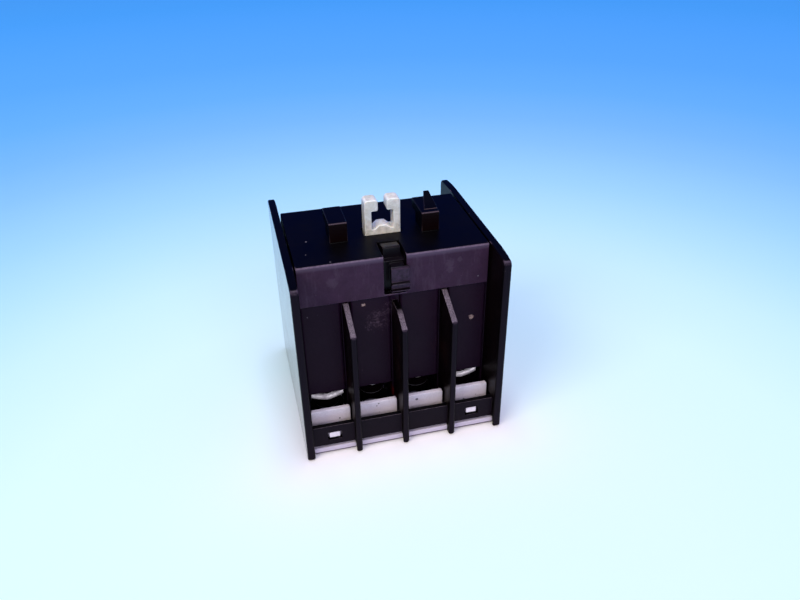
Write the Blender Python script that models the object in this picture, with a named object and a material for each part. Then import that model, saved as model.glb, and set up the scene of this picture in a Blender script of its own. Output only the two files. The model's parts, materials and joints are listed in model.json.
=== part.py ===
"""Four-pole auxiliary contact block that clips on the front of a contactor.

It lies on its front cover. X runs across the four poles, -Y is the side with the latch,
+Y is the side that slides on first, and +Z is the side that faces the contactor.
The origin is the middle of the front cover's face, and everything is in metres.
"""
import math

import bmesh
import bpy
from mathutils import Matrix, Vector

MM = 0.001

# Clearance between two pieces that touch or slide.
FIT = 0.3 * MM

# Outer shell. Its length adds up outwards from the contacts, and its height up from the cover.
WIDTH = 45.0 * MM
BAY_DEPTH = 7.9 * MM
ROOF_THICKNESS = 8.6 * MM
PLATE_THICKNESS = 1.7 * MM
PLATE_CORNER = 1.1 * MM
PLATE_DROP = 0.1 * MM
PLATE_FALL = 0.35 * MM
PLATE_FALL_LENGTH = 6.3 * MM
SIDE_GROOVE = 0.4 * MM
BOX_HEIGHT = 9.45 * MM
BOX_EDGE = 0.45 * MM
LEAD_IN = 2.1 * MM

# Barrier ribs, toes and the recessed walls between them.
RIB_PITCH = 10.75 * MM
RIB_THICKNESS = 1.3 * MM
RIB_RISE = 3.5 * MM
RIB_STEP = 0.45 * MM
RECESS_ROOM = 0.9 * MM
WALL_SETBACK = 0.6 * MM
WALL_THICKNESS = 1.0 * MM
WALL_GROOVE = 0.35 * MM
WALL_CORNER = 0.6 * MM
WALL_BOTTOM = 11.5 * MM
TOE_BOTTOM = 0.1 * MM
TOE_LENGTH = 1.0 * MM

# Bars that tie the ribs together at the front, with a window in each outer bay.
BAR_SETBACK = 1.56 * MM
BAR_THICKNESS = 1.3 * MM
BAR_TOP = 7.6 * MM
WINDOW_WIDTH = 3.1 * MM
WINDOW_HEIGHT = 2.1 * MM
WINDOW_BOTTOM = 3.65 * MM

# Front cover.
COVER_THICKNESS = 1.7 * MM
COVER_INSET = 0.3 * MM
COVER_CORNER = 1.2 * MM
COVER_EDGE = 0.45 * MM
STRIP_STAND = 3.8 * MM
STRIP_TOP = 9.6 * MM
STRIP_THICKNESS = 1.0 * MM
STRIP_CORNER = 0.4 * MM
TAB_THICKNESS = 1.0 * MM
TAB_REACH = 1.2 * MM
TAB_GAP = 0.35 * MM
FUNNEL_RADIUS = 3.0 * MM
FUNNEL_MOUTH = 3.7 * MM
FUNNEL_WALL = 0.8 * MM
FUNNEL_TOP = 5.9 * MM
REST_WIDTH = 1.6 * MM
REST_LENGTH = 3.0 * MM
MARKER_LENGTH = 34.0 * MM
MARKER_WIDTH = 7.0 * MM
MARKER_DEPTH = 0.4 * MM

# Poles: chambers, terminals and contacts.
CHAMBER_HALF_WIDTH = 4.4 * MM
CONTACT_CHAMBER_REACH = 6.4 * MM
CROSS_WALL = 1.0 * MM
TERMINAL_ROOM = 5.3 * MM
SCREW_HEADROOM = 1.95 * MM
SCREW_RADIUS = 1.6 * MM
SCREW_LENGTH = 7.0 * MM
HEAD_RADIUS = 2.8 * MM
HEAD_HEIGHT = 2.0 * MM
DRIVE_LENGTH = 4.4 * MM
DRIVE_WIDTH = 0.8 * MM
DRIVE_DEPTH = 1.1 * MM
CLAMP_WIDTH = 7.4 * MM
CLAMP_LENGTH = 4.7 * MM
CLAMP_THICKNESS = 1.2 * MM
CLAMP_BOW = 1.2 * MM
CLAMP_TRAVEL = 2.0 * MM
STRAP_THICKNESS = 0.8 * MM
STRAP_BOTTOM = 13.0 * MM
STRAP_WIDTH = 7.2 * MM
ARM_WIDTH = 4.4 * MM
TIP_RADIUS = 1.0 * MM
TIP_HEIGHT = 0.6 * MM
BRIDGE_WIDTH = 3.6 * MM
BRIDGE_THICKNESS = 0.6 * MM
BRIDGE_GAP = 0.4 * MM

# Contact carrier with its coupler fork.
TRAVEL = 4.0 * MM
CARRIER_THICKNESS = 4.0 * MM
CARRIER_BOTTOM = 6.0 * MM
CARRIER_EDGE = 1.65 * MM
CARRIER_END = 1.2 * MM
CARRIER_WINDOW = 4.6 * MM
CONTACT_SPRING = 6.0 * MM
COUPLER_WIDTH = 7.85 * MM
COUPLER_NEAR = -3.6 * MM
COUPLER_LENGTH = 3.2 * MM
COUPLER_HEIGHT = 7.8 * MM
COUPLER_CORNER = 0.8 * MM
JAW_THICKNESS = 2.6 * MM
JAW_GAP = 1.9 * MM
JAW_ROUND = 0.7 * MM
POCKET_WIDTH = 4.8 * MM
POCKET_HEIGHT = 4.2 * MM
NUB_BASE = 3.6 * MM
NUB_CREST = 1.6 * MM
NUB_HEIGHT = 0.85 * MM

# Hooks on the contactor side.
HOOK_SPACING = 20.1 * MM
HOOK_WIDTH = 3.9 * MM
HOOK_NEAR = -5.65 * MM
HOOK_POST = 5.5 * MM
HOOK_LENGTH = 8.45 * MM
HOOK_HEIGHT = 4.55 * MM
HOOK_LIP = 2.2 * MM
HOOK_EDGE = 0.35 * MM
FIN_LENGTH = 6.9 * MM
FIN_HEIGHT = 1.3 * MM
FIN_FOOT = 2.9 * MM
FIN_CREST = 1.25 * MM

# Latch and its slot.
SLOT_WIDTH = 4.8 * MM
SLOT_SILL = 0.4 * MM
SLOT_LENGTH = 6.7 * MM
GUIDE_WIDTH = 7.2 * MM
GUIDE_DEPTH = 11.6 * MM
GUIDE_LIP = 1.5 * MM
GUIDE_ROOF = 1.8 * MM
LATCH_TRAVEL = 2.2 * MM
BOLT_WIDTH = 3.75 * MM
BOLT_LENGTH = 3.3 * MM
BOLT_PROUD = 0.5 * MM
PAD_LEFT = -1.1 * MM
PAD_WIDTH = 3.9 * MM
PAD_THICKNESS = 0.7 * MM
PAD_DROP = 2.3 * MM
PAD_CHAMFER = 0.4 * MM
RIDGE_DROP = 3.4 * MM
RIDGE_DEPTH = 0.75 * MM
RIDGE_HEIGHT = 0.6 * MM
RIDGE_PITCH = 1.55 * MM

# Coil springs.
WIRE_RADIUS = 0.22 * MM
CONTACT_COIL = 1.35 * MM
RETURN_COIL = 1.55 * MM
LATCH_COIL = 1.15 * MM
WELL_ROOF = 2.9 * MM
PEG_HEIGHT = 1.4 * MM

# Places worked out from the sizes above.
HALF_WIDTH = WIDTH / 2
PLATE_INNER = HALF_WIDTH - PLATE_THICKNESS
BOX_HALF_WIDTH = PLATE_INNER - SIDE_GROOVE
TERMINAL_WALL = CONTACT_CHAMBER_REACH + CROSS_WALL
WALL_INNER = TERMINAL_WALL + TERMINAL_ROOM
WALL_FACE = WALL_INNER + WALL_THICKNESS
BOX_FACE = WALL_FACE + WALL_SETBACK
HALF_LENGTH = BOX_FACE + BAY_DEPTH
SCREW_REACH = (TERMINAL_WALL + WALL_INNER) / 2
RISER_OUTER = CONTACT_CHAMBER_REACH - FIT
BRIDGE_REACH = RISER_OUTER - STRAP_THICKNESS - BRIDGE_GAP
TIP_REACH = BRIDGE_REACH - TIP_RADIUS
STRAP_TOP = STRAP_BOTTOM + STRAP_THICKNESS
SCREW_SEAT = STRAP_BOTTOM - 2 * FIT - CLAMP_BOW - CLAMP_THICKNESS
TERMINAL_CHAMBER_TOP = SCREW_SEAT + SCREW_LENGTH + SCREW_HEADROOM
CONTACT_STACK = CONTACT_SPRING + BRIDGE_THICKNESS + 2 * TIP_HEIGHT + 3 * FIT
ARM_BOTTOM = CARRIER_BOTTOM + CARRIER_EDGE + CONTACT_STACK + TRAVEL
ARM_TOP = ARM_BOTTOM + STRAP_THICKNESS
CARRIER_TOP = ARM_TOP + CONTACT_STACK + CARRIER_EDGE
CONTACT_CHAMBER_TOP = CARRIER_TOP - 2 * FIT
CHANNEL_TOP = CARRIER_TOP + TRAVEL + FIT
TOP = CHANNEL_TOP + ROOF_THICKNESS
PLATE_TOP = TOP - PLATE_DROP
BOX_BOTTOM = TOP - BOX_HEIGHT
RIB_SHOULDER = BOX_BOTTOM - RIB_STEP
RIB_CREST = RIB_SHOULDER - RIB_RISE
RETURN_WELL_TOP = TOP - WELL_ROOF
COUPLER_TOP = TOP + COUPLER_HEIGHT
BAR_BOTTOM = COVER_THICKNESS + FIT
BAR_FACE = HALF_LENGTH - BAR_SETBACK
STRIP_FACE = WALL_FACE + STRIP_STAND
TAB_FACE = BAR_FACE - BAR_THICKNESS - FIT
OUTER_POLE = (RIB_PITCH + RIB_THICKNESS / 2 + BOX_HALF_WIDTH) / 2
CARRIER_HALF = OUTER_POLE + CARRIER_WINDOW / 2 + CARRIER_END
POLES = (-OUTER_POLE, -RIB_PITCH / 2, RIB_PITCH / 2, OUTER_POLE)
NORMALLY_OPEN = (True, False, False, True)
BAYS = (
    (-PLATE_INNER, -RIB_PITCH - RIB_THICKNESS / 2),
    (-RIB_PITCH + RIB_THICKNESS / 2, -RIB_THICKNESS / 2),
    (RIB_THICKNESS / 2, RIB_PITCH - RIB_THICKNESS / 2),
    (RIB_PITCH + RIB_THICKNESS / 2, PLATE_INNER),
)
SIDES = (("near", -1), ("far", 1))
COUPLER_FAR = COUPLER_NEAR + COUPLER_LENGTH
GUIDE_FACE = BOX_FACE - GUIDE_LIP
GUIDE_FLOOR = TOP - GUIDE_DEPTH
SLOT_BACK = -BOX_FACE + SLOT_LENGTH
SLOT_FLOOR = BOX_BOTTOM + SLOT_SILL
BOLT_NEAR = SLOT_BACK - FIT - BOLT_LENGTH
LATCH_BOTTOM = GUIDE_FLOOR + LATCH_TRAVEL + 2 * FIT
LATCH_SPRING_Y = (SLOT_BACK - GUIDE_FACE) / 2
LATCH_SPRING_TOP = TOP - GUIDE_ROOF - 3 * MM
PAD_TOP = TOP - PAD_DROP
RIDGE_TOP = PAD_TOP - RIDGE_DROP
PAD_BOTTOM = RIDGE_TOP - RIDGE_PITCH - RIDGE_HEIGHT - FIT
RIB_RECESS = PAD_BOTTOM - LATCH_TRAVEL - RECESS_ROOM
BIG = 2 * WIDTH


def material(name, colour, roughness, metallic=0.0):
    """A Principled material with the piece's plain colour."""
    made = bpy.data.materials.new(name)
    made.use_nodes = True
    shader = made.node_tree.nodes["Principled BSDF"]
    shader.inputs["Base Color"].default_value = (*colour, 1.0)
    shader.inputs["Roughness"].default_value = roughness
    shader.inputs["Metallic"].default_value = metallic
    made.diffuse_color = (*colour, 1.0)
    return made


def block(x, y, z):
    """A box between the two values of each pair."""
    shape = bmesh.new()
    size = Vector((x[1] - x[0], y[1] - y[0], z[1] - z[0]))
    centre = Vector((sum(x) / 2, sum(y) / 2, sum(z) / 2))
    place = Matrix.Translation(centre) @ Matrix.Diagonal((*size, 1.0))
    bmesh.ops.create_cube(shape, size=1.0, matrix=place)
    return shape


def prism(outline, axis, low, high):
    """An outline extruded along an axis; its points are the two other coordinates, in order."""
    def at(point):
        first, second = point
        return {"X": (low, first, second), "Y": (first, low, second), "Z": (first, second, low)}[axis]

    shape = bmesh.new()
    face = shape.faces.new([shape.verts.new(at(point)) for point in outline])
    grown = bmesh.ops.extrude_face_region(shape, geom=[face])["geom"]
    step = Vector([high - low if axis == letter else 0.0 for letter in "XYZ"])
    moved = [part for part in grown if isinstance(part, bmesh.types.BMVert)]
    bmesh.ops.translate(shape, verts=moved, vec=step)
    bmesh.ops.recalc_face_normals(shape, faces=shape.faces)
    return shape


def round_bar(x, y, z, radius, segments, mouth=None):
    """An upright cylinder, or a cone whose lower radius is mouth."""
    shape = bmesh.new()
    bmesh.ops.create_cone(
        shape, cap_ends=True, cap_tris=False, segments=segments,
        radius1=radius if mouth is None else mouth, radius2=radius, depth=z[1] - z[0],
        matrix=Matrix.Translation((x, y, sum(z) / 2)),
    )
    return shape


def soften(shape, width, chosen, segments=2):
    """Round the edges that the test picks by their middle point and direction."""
    picked = []
    for edge in shape.edges:
        middle = (edge.verts[0].co + edge.verts[1].co) / 2
        along = (edge.verts[1].co - edge.verts[0].co).normalized()
        if chosen(middle, along):
            picked.append(edge)
    bmesh.ops.bevel(
        shape, geom=picked, offset=width, offset_type="OFFSET", segments=segments,
        profile=0.5, affect="EDGES", material=-1,
    )
    return shape


def arc(centre, radius, start, end, steps):
    """Points of a round corner, from one angle to another in degrees."""
    points = []
    for index in range(steps + 1):
        angle = math.radians(start + (end - start) * index / steps)
        points.append((centre[0] + radius * math.cos(angle), centre[1] + radius * math.sin(angle)))
    return points


def piece(name, shape, look):
    """Put a finished shape in the scene as one named piece."""
    mesh = bpy.data.meshes.new(name)
    shape.to_mesh(mesh)
    shape.free()
    mesh.materials.append(look)
    made = bpy.data.objects.new(name, mesh)
    bpy.context.scene.collection.objects.link(made)
    return made


def combine(target, operation, shapes):
    """Join shapes to a piece, or cut them out of it, as one Boolean over a group of guides."""
    label = f"{target.name}_{operation.lower()}_{len(target.modifiers) + 1}"
    group = bpy.data.collections.new(label)
    bpy.context.scene.collection.children.link(group)
    for number, shape in enumerate(shapes, start=1):
        mesh = bpy.data.meshes.new(f"{label}_{number}")
        shape.to_mesh(mesh)
        shape.free()
        guide = bpy.data.objects.new(mesh.name, mesh)
        guide.hide_render = True
        guide.display_type = "WIRE"
        group.objects.link(guide)
    step = target.modifiers.new(label, "BOOLEAN")
    step.operation = operation
    step.operand_type = "COLLECTION"
    step.collection = group
    step.solver = "EXACT"
    return target


def smooth(made, angle=40.0):
    """Shade the round faces smooth and keep the sharp edges."""
    made.data.shade_smooth()
    made.data.set_sharp_from_angle(angle=math.radians(angle))


def spring(name, x, y, z, coil_radius, turns, look):
    """A coil spring with its wire's own thickness between two heights."""
    per_turn = 9
    count = int(per_turn * turns) + 1
    low, high = z[0] + WIRE_RADIUS, z[1] - WIRE_RADIUS
    curve = bpy.data.curves.new(name, "CURVE")
    curve.dimensions = "3D"
    curve.bevel_depth = WIRE_RADIUS
    curve.bevel_resolution = 1
    curve.use_fill_caps = True
    line = curve.splines.new("POLY")
    line.points.add(count - 1)
    for index, point in enumerate(line.points):
        angle = 2 * math.pi * index / per_turn
        height = low + (high - low) * index / (count - 1)
        point.co = (coil_radius * math.cos(angle), coil_radius * math.sin(angle), height, 1.0)
    curve.materials.append(look)
    made = bpy.data.objects.new(name, curve)
    made.location = (x, y, 0.0)
    bpy.context.scene.collection.objects.link(made)
    return made


def toe(side):
    """The foot of a rib or end plate, from the bar's lower edge round to the outer edge."""
    inner, outer = BAR_FACE + FIT, HALF_LENGTH
    chamfer = (outer - inner) / 3
    return [
        (side * inner, BAR_BOTTOM),
        (side * (outer - TOE_LENGTH + chamfer), TOE_BOTTOM + chamfer),
        (side * (outer - TOE_LENGTH / 2), TOE_BOTTOM),
        (side * (outer - chamfer / 2), TOE_BOTTOM),
        (side * outer, TOE_BOTTOM + chamfer / 2),
    ]


def plate_outline():
    """Outline of an end plate in Y and Z: toes, rounded top corners and a top that falls at its ends."""
    corner = HALF_LENGTH - PLATE_CORNER
    shoulder = PLATE_TOP - PLATE_FALL - PLATE_CORNER
    kink = HALF_LENGTH - PLATE_FALL_LENGTH
    points = toe(1)
    points += arc((corner, shoulder), PLATE_CORNER, 0, 90, 4)
    points += [(kink, PLATE_TOP), (-kink, PLATE_TOP)]
    points += arc((-corner, shoulder), PLATE_CORNER, 90, 180, 4)
    return points + toe(-1)[::-1]


def rib_outline(has_recess):
    """Outline of a barrier rib: its crest rises to the box, and the recess clears the latch's pad."""
    near = [(-WALL_INNER, RIB_SHOULDER), (-BOX_FACE, RIB_SHOULDER)]
    if has_recess:
        end = BOX_FACE + BAY_DEPTH * (RIB_SHOULDER - RIB_RECESS) / RIB_RISE
        near = [(-WALL_INNER, RIB_RECESS), (-end, RIB_RECESS)]
    far = [(HALF_LENGTH, RIB_CREST), (BOX_FACE, RIB_SHOULDER), (WALL_INNER, RIB_SHOULDER)]
    return toe(1) + far + near + [(-HALF_LENGTH, RIB_CREST)] + toe(-1)[::-1]


def box_outline():
    """Outline of the upper box: a round near edge and a lead-in on the side that slides on first."""
    middle = BOX_BOTTOM
    points = [(-BOX_FACE, middle)]
    points += arc((-BOX_FACE + BOX_EDGE, TOP - BOX_EDGE), BOX_EDGE, 180, 90, 3)
    points += [(BOX_FACE - LEAD_IN, TOP), (BOX_FACE, TOP - LEAD_IN), (BOX_FACE, middle)]
    return points


def hook_outline():
    """Outline of a hook: a post with a lip that slides under the contactor's edge."""
    far = HOOK_NEAR + HOOK_LENGTH
    crest = TOP + HOOK_HEIGHT
    under = crest - HOOK_LIP
    return [
        (HOOK_NEAR, TOP - HOOK_EDGE),
        *arc((HOOK_NEAR + HOOK_EDGE, crest - HOOK_EDGE), HOOK_EDGE, 180, 90, 3),
        (far, crest),
        (far, under),
        (HOOK_NEAR + HOOK_POST, under),
        (HOOK_NEAR + HOOK_POST, TOP - HOOK_EDGE),
    ]


def fin():
    """The tapered fin that stands on the right hook and rises towards its lip."""
    right = (HOOK_SPACING + HOOK_WIDTH) / 2
    far = HOOK_NEAR + HOOK_LENGTH
    base = TOP + HOOK_HEIGHT - HOOK_EDGE
    crest = TOP + HOOK_HEIGHT + FIN_HEIGHT
    shape = block((right - FIN_FOOT, right), (far - FIN_LENGTH, far), (base, crest))
    for corner in shape.verts:
        if corner.co.y < far - FIN_LENGTH / 2 and corner.co.z > base + FIN_HEIGHT / 2:
            corner.co.z = TOP + HOOK_HEIGHT + HOOK_EDGE / 4
        if corner.co.y > far - FIN_LENGTH / 2 and corner.co.x < right - FIN_FOOT / 2:
            corner.co.x = right - FIN_CREST
    return shape


def bay_wall(left, right, side):
    """The wall of one bay: it stands proud between two grooves, with round upright corners."""
    left += WALL_GROOVE
    right -= WALL_GROOVE
    root = WALL_INNER - FIT
    shoulder = WALL_FACE - WALL_CORNER
    outline = [(left, root), (right, root)]
    outline += arc((right - WALL_CORNER, shoulder), WALL_CORNER, 0, 90, 3)
    outline += arc((left + WALL_CORNER, shoulder), WALL_CORNER, 90, 180, 3)
    outline = [(x, side * y) for x, y in outline]
    return prism(outline, "Z", WALL_BOTTOM - FIT, BOX_BOTTOM + FIT / 2)


def housing_solids():
    """Everything that is added to the housing's main block."""
    solids = []
    for side in (-1, 1):
        outer, inner = side * HALF_WIDTH, side * PLATE_INNER
        solids.append(prism(plate_outline(), "X", min(outer, inner), max(outer, inner)))
    for centre in (-RIB_PITCH, 0.0, RIB_PITCH):
        outline = rib_outline(has_recess=centre == 0.0)
        solids.append(prism(outline, "X", centre - RIB_THICKNESS / 2, centre + RIB_THICKNESS / 2))
    solids.append(prism(box_outline(), "X", -BOX_HALF_WIDTH, BOX_HALF_WIDTH))
    reach = PLATE_INNER + PLATE_THICKNESS / 3
    for side in (-1, 1):
        ends = sorted((side * BAR_FACE, side * (BAR_FACE - BAR_THICKNESS)))
        solids.append(block((-reach, reach), ends, (BAR_BOTTOM + FIT, BAR_TOP)))
        solids += [bay_wall(left, right, side) for left, right in BAYS]
    for side in (-1, 1):
        middle = side * HOOK_SPACING / 2
        solids.append(prism(hook_outline(), "X", middle - HOOK_WIDTH / 2, middle + HOOK_WIDTH / 2))
    solids.append(fin())
    return solids


def window_cuts():
    """The windows in the bars of the outer bays, for the cover's tabs."""
    cuts = []
    for pole in (POLES[0], POLES[-1]):
        for _, side in SIDES:
            span = sorted((side * (BAR_FACE + FIT), side * (BAR_FACE - BAR_THICKNESS - FIT)))
            half = WINDOW_WIDTH / 2
            heights = (WINDOW_BOTTOM, WINDOW_BOTTOM + WINDOW_HEIGHT)
            cuts.append(block((pole - half, pole + half), span, heights))
    return cuts


def chamber_outline():
    """Outline in Y and Z of one pole's chambers: contacts in the middle, a terminal at each end."""
    half = [
        (WALL_FACE + FIT, -TOP),
        (WALL_FACE + FIT, WALL_BOTTOM),
        (WALL_INNER, WALL_BOTTOM),
        (WALL_INNER, TERMINAL_CHAMBER_TOP),
        (TERMINAL_WALL, TERMINAL_CHAMBER_TOP),
        (TERMINAL_WALL, STRAP_TOP + FIT),
        (CONTACT_CHAMBER_REACH, STRAP_TOP + FIT),
        (CONTACT_CHAMBER_REACH, CONTACT_CHAMBER_TOP),
    ]
    return half + [(-y, z) for y, z in half[::-1]]


def chamber_cuts():
    """The chambers of the four poles, which hold the contacts and the terminals."""
    half = CHAMBER_HALF_WIDTH
    return [prism(chamber_outline(), "X", pole - half, pole + half) for pole in POLES]


def carrier_channel():
    """The channel that the carrier slides in, across the four poles."""
    gap = CARRIER_THICKNESS / 2 + FIT
    end = CARRIER_HALF + FIT
    return [block((-end, end), (-gap, gap), (-TOP, CHANNEL_TOP))]


def top_cuts():
    """The coupler's opening, the return springs' wells, and the latch's slot and notch."""
    stem = COUPLER_WIDTH / 2 + FIT
    span = (COUPLER_NEAR - FIT, COUPLER_FAR + FIT)
    cuts = [block((-stem, stem), span, (CONTACT_CHAMBER_TOP - FIT, BIG))]
    for side in (-1, 1):
        well = RETURN_COIL + WIRE_RADIUS + FIT
        cuts.append(round_bar(side * RIB_PITCH, 0.0, (CARRIER_TOP, RETURN_WELL_TOP), well, 16))
    inner = -GUIDE_FACE + FIT
    roof = TOP - GUIDE_ROOF - FIT
    slot = [
        (-HALF_LENGTH, SLOT_FLOOR), (inner, SLOT_FLOOR), (inner, roof),
        (SLOT_BACK, roof), (SLOT_BACK, BIG), (-HALF_LENGTH, BIG),
    ]
    cuts.append(prism(slot, "X", -SLOT_WIDTH / 2, SLOT_WIDTH / 2))
    return cuts


def latch_guide():
    """The wider guide behind the slot, which keeps the latch from falling out."""
    guide = GUIDE_WIDTH / 2
    return [block((-guide, guide), (-GUIDE_FACE, SLOT_BACK - FIT), (GUIDE_FLOOR, TOP - GUIDE_ROOF))]


def build_housing(look):
    """The black moulding: box, end plates, ribs, bars, hooks, chambers and latch guide."""
    reach = PLATE_INNER + PLATE_THICKNESS / 2
    face = WALL_FACE - WALL_CORNER
    body = block((-reach, reach), (-face, face), (BAR_BOTTOM + FIT, BOX_BOTTOM + FIT))
    housing = piece("housing", body, look)
    combine(housing, "UNION", housing_solids())
    for cuts in (chamber_cuts(), window_cuts(), carrier_channel(), top_cuts(), latch_guide()):
        combine(housing, "DIFFERENCE", cuts)
    return housing


def strip(left, right, side):
    """One cover wall between two ribs, with rounded top corners."""
    left += FIT
    right -= FIT
    top = STRIP_TOP - STRIP_CORNER
    outline = [(left, COVER_THICKNESS / 2), (right, COVER_THICKNESS / 2)]
    outline += arc((right - STRIP_CORNER, top), STRIP_CORNER, 0, 90, 3)
    outline += arc((left + STRIP_CORNER, top), STRIP_CORNER, 90, 180, 3)
    ends = sorted((side * STRIP_FACE, side * (STRIP_FACE - STRIP_THICKNESS)))
    return prism(outline, "Y", *ends)


def tab(pole, side):
    """An upright tab of the cover with the tooth that snaps in a bar's window."""
    half = WINDOW_WIDTH / 2 - TAB_GAP
    top = WINDOW_BOTTOM + WINDOW_HEIGHT - TAB_GAP
    stem = sorted((side * TAB_FACE, side * (TAB_FACE - TAB_THICKNESS)))
    tooth = sorted((side * (TAB_FACE - FIT), side * (TAB_FACE + TAB_REACH)))
    return [
        block((pole - half - FIT, pole + half + FIT), stem, (COVER_THICKNESS / 2, top + FIT / 2)),
        block((pole - half, pole + half), tooth, (WINDOW_BOTTOM + TAB_GAP, top)),
    ]


def build_cover(look):
    """The light front cover: face, screw funnels, bay walls, snap tabs and the carrier's rests."""
    half_x = HALF_WIDTH - COVER_INSET
    half_y = BAR_FACE
    face = block((-half_x, half_x), (-half_y, half_y), (0.0, COVER_THICKNESS))
    soften(face, COVER_CORNER, lambda middle, along: abs(along.z) > 0.9, 3)
    soften(face, COVER_EDGE, lambda middle, along: middle.z < COVER_THICKNESS / 4, 2)
    cover = piece("front_cover", face, look)
    solids = []
    cuts = []
    for number, (left, right) in enumerate(BAYS):
        for _, side in SIDES:
            solids.append(strip(left, right, side))
            if number in (0, len(BAYS) - 1):
                solids += tab(POLES[number], side)
    for pole in POLES:
        for _, side in SIDES:
            y = side * SCREW_REACH
            outside = FUNNEL_RADIUS + FUNNEL_WALL
            solids.append(round_bar(pole, y, (COVER_THICKNESS / 2, FUNNEL_TOP), outside, 24))
            cuts.append(round_bar(pole, y, (-FIT, FUNNEL_TOP + FIT), FUNNEL_RADIUS, 24))
            mouth = FUNNEL_MOUTH + (FUNNEL_MOUTH - FUNNEL_RADIUS) * FIT / COVER_THICKNESS
            heights = (-FIT, COVER_THICKNESS)
            cuts.append(round_bar(pole, y, heights, FUNNEL_RADIUS, 24, mouth=mouth))
    for middle in (-RIB_PITCH, 0.0, RIB_PITCH):
        across = (middle - REST_WIDTH / 2, middle + REST_WIDTH / 2)
        along = (-REST_LENGTH / 2, REST_LENGTH / 2)
        solids.append(block(across, along, (COVER_THICKNESS / 2, CARRIER_BOTTOM - FIT)))
    marker = (MARKER_LENGTH / 2, MARKER_WIDTH / 2)
    cuts.append(block((-marker[0], marker[0]), (-marker[1], marker[1]), (-FIT, MARKER_DEPTH)))
    combine(cover, "UNION", solids)
    combine(cover, "DIFFERENCE", cuts)
    return cover


def fork_outline():
    """Outline in X and Z of the coupler fork with its T-shaped slot, and the stem below it."""
    half = COUPLER_WIDTH / 2
    jaw = COUPLER_TOP - JAW_THICKNESS
    floor = jaw - POCKET_HEIGHT
    pocket = POCKET_WIDTH / 2
    gap = JAW_GAP / 2
    foot = CARRIER_TOP - FIT
    left = [(-half, foot)]
    left += arc((-half + COUPLER_CORNER, COUPLER_TOP - COUPLER_CORNER), COUPLER_CORNER, 180, 90, 3)
    left += arc((-gap - JAW_ROUND, COUPLER_TOP - JAW_ROUND), JAW_ROUND, 90, 0, 3)
    left += arc((-gap - JAW_ROUND / 2, jaw + JAW_ROUND / 2), JAW_ROUND / 2, 0, -90, 2)
    left += [(-pocket, jaw), (-pocket, floor), (-NUB_BASE / 2, floor), (-NUB_CREST / 2, floor + NUB_HEIGHT)]
    return left + [(-x, z) for x, z in left[::-1]]


def carrier_windows():
    """Heights of the carrier window, the bridge and the spring of each pole."""
    rows = []
    for is_open in NORMALLY_OPEN:
        if is_open:
            bridge = ARM_BOTTOM - 2 * TIP_HEIGHT - FIT - TRAVEL - BRIDGE_THICKNESS
            coil = (bridge - FIT - CONTACT_SPRING, bridge - FIT)
            window = (coil[0] - FIT, bridge + BRIDGE_THICKNESS + FIT)
        else:
            bridge = ARM_TOP + 2 * TIP_HEIGHT + FIT
            coil = (bridge + BRIDGE_THICKNESS + FIT, bridge + BRIDGE_THICKNESS + FIT + CONTACT_SPRING)
            window = (bridge - FIT, coil[1] + FIT)
        rows.append((window, bridge, coil))
    return rows


def build_carrier(look):
    """The ivory moulding that carries the four bridges and ends in the coupler fork."""
    half = CARRIER_THICKNESS / 2
    beam = block((-CARRIER_HALF, CARRIER_HALF), (-half, half), (CARRIER_BOTTOM, CARRIER_TOP))
    carrier = piece("contact_carrier", beam, look)
    solids = [prism(fork_outline(), "Y", COUPLER_NEAR, COUPLER_FAR)]
    for side in (-1, 1):
        heights = (CARRIER_TOP - FIT, CARRIER_TOP + PEG_HEIGHT)
        solids.append(round_bar(side * RIB_PITCH, 0.0, heights, RETURN_COIL - WIRE_RADIUS - FIT, 12))
    cuts = []
    for pole, (window, _, _) in zip(POLES, carrier_windows()):
        across = (pole - CARRIER_WINDOW / 2, pole + CARRIER_WINDOW / 2)
        cuts.append(block(across, (-CARRIER_THICKNESS, CARRIER_THICKNESS), window))
    combine(carrier, "UNION", solids)
    combine(carrier, "DIFFERENCE", cuts)
    return carrier


def build_fixed_contact(name, pole, side, is_open, look):
    """A stamped strap: terminal plate, riser, inner arm and contact tip."""
    thick = STRAP_THICKNESS
    riser = RISER_OUTER - thick
    end = TIP_REACH - TIP_RADIUS
    half = STRAP_WIDTH / 2
    plate_span = sorted((side * (RISER_OUTER - FIT), side * (SCREW_REACH + CLAMP_LENGTH / 2)))
    plate = block((pole - half, pole + half), plate_span, (STRAP_BOTTOM, STRAP_TOP))
    made = piece(name, plate, look)
    outline = [
        (side * RISER_OUTER, STRAP_BOTTOM), (side * RISER_OUTER, ARM_TOP), (side * end, ARM_TOP),
        (side * end, ARM_BOTTOM), (side * riser, ARM_BOTTOM), (side * riser, STRAP_BOTTOM),
    ]
    arm = prism(outline, "X", pole - ARM_WIDTH / 2, pole + ARM_WIDTH / 2)
    if is_open:
        heights = (ARM_BOTTOM - TIP_HEIGHT, ARM_BOTTOM + thick / 2)
    else:
        heights = (ARM_TOP - thick / 2, ARM_TOP + TIP_HEIGHT)
    tip = round_bar(pole, side * TIP_REACH, heights, TIP_RADIUS, 12)
    combine(made, "UNION", [arm, tip])
    hole = round_bar(pole, side * SCREW_REACH, (STRAP_BOTTOM - FIT, STRAP_TOP + FIT), SCREW_RADIUS + FIT, 16)
    combine(made, "DIFFERENCE", [hole])
    return made


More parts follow.
